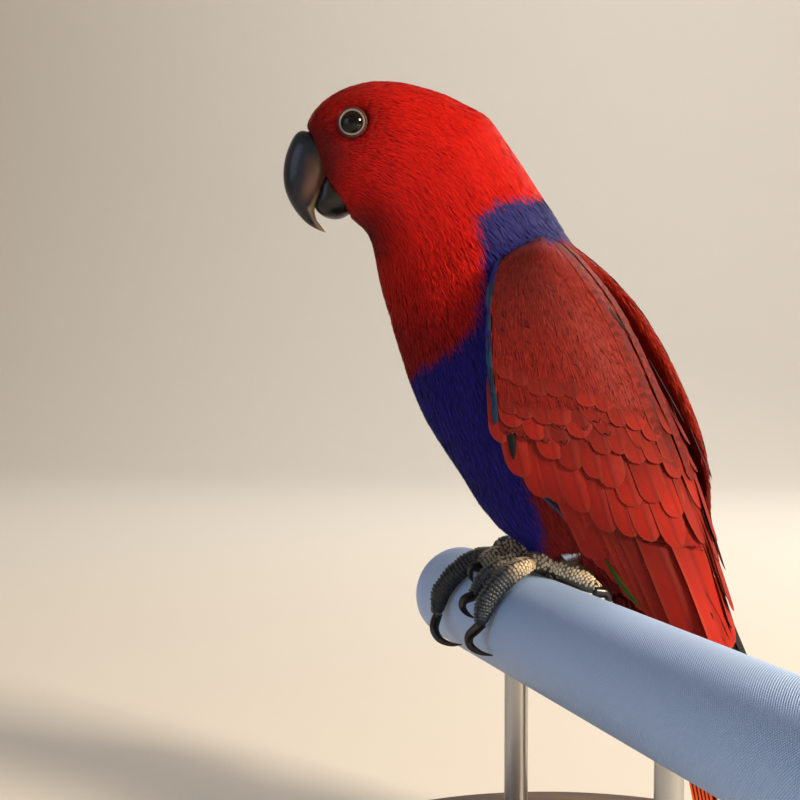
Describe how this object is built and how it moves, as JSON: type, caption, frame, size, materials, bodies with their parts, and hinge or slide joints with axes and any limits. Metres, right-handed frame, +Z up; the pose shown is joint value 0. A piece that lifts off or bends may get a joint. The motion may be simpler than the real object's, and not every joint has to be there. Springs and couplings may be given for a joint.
{
  "type": "perched eclectus parrot model",
  "caption": "Life-size parrot gripping a short round rail, head in profile, wings folded, long tail behind, on a flat disc base with upright rods.",
  "frame": {"origin": "the middle of the model's bounding box, on the floor under the base", "axes": "+Z up; the bird's breast and bill face -X and its left side faces -Y; the rail runs from the far left rear, 29.8 degrees off the Y axis"},
  "size_m": [0.26, 0.305, 0.3349],
  "materials": {
    "plumage_red": "soft feather barbs, scarlet",
    "plumage_blue": "soft feather vanes, blue-violet",
    "plumage_wing": "firm feather vanes, maroon to brick red",
    "plumage_tail": "firm feather vanes, brick red with an orange tip",
    "foot_scales": "grey beaded scales",
    "claw_horn": "smooth black horn",
    "bill_upper": "smooth blue-black horn, brown along the cutting edge",
    "bill_lower": "smooth black horn",
    "eye": "wet, near black",
    "band_aluminium": "bare, satin",
    "rail_coating": "blue-grey, finely textured",
    "rail_cap": "blue-grey, smooth",
    "base_wood": "dark, oiled",
    "stand_steel": "satin"
  },
  "bodies": {
    "root": {"head": "plumage_red", "left_claw_inner_front": "claw_horn", "left_claw_inner_rear": "claw_horn", "left_claw_outer_front": "claw_horn", "left_claw_outer_rear": "claw_horn", "left_eye": "eye", "left_foot": "foot_scales", "left_tarsus": "foot_scales", "left_thigh": "plumage_blue", "left_toe_inner_front": "foot_scales", "left_toe_inner_rear": "foot_scales", "left_toe_outer_front": "foot_scales", "left_toe_outer_rear": "foot_scales", "left_wing_coverts": "plumage_wing", "left_wing_flight": "plumage_wing", "leg_band": "band_aluminium", "lower_bill": "bill_lower", "neck": "plumage_red", "perch_cap_far": "rail_cap", "perch_cap_near": "rail_cap", "perch_rail": "rail_coating", "right_claw_inner_front": "claw_horn", "right_claw_inner_rear": "claw_horn", "right_claw_outer_front": "claw_horn", "right_claw_outer_rear": "claw_horn", "right_eye": "eye", "right_foot": "foot_scales", "right_tarsus": "foot_scales", "right_thigh": "plumage_blue", "right_toe_inner_front": "foot_scales", "right_toe_inner_rear": "foot_scales", "right_toe_outer_front": "foot_scales", "right_toe_outer_rear": "foot_scales", "right_wing_coverts": "plumage_wing", "right_wing_flight": "plumage_wing", "stand_base": "base_wood", "stand_collar_front": "stand_steel", "stand_collar_rear": "stand_steel", "stand_rod_front": "stand_steel", "stand_rod_rear": "stand_steel", "tail": "plumage_tail", "trunk": "plumage_blue", "upper_bill": "bill_upper"}
  },
  "joints": []
}
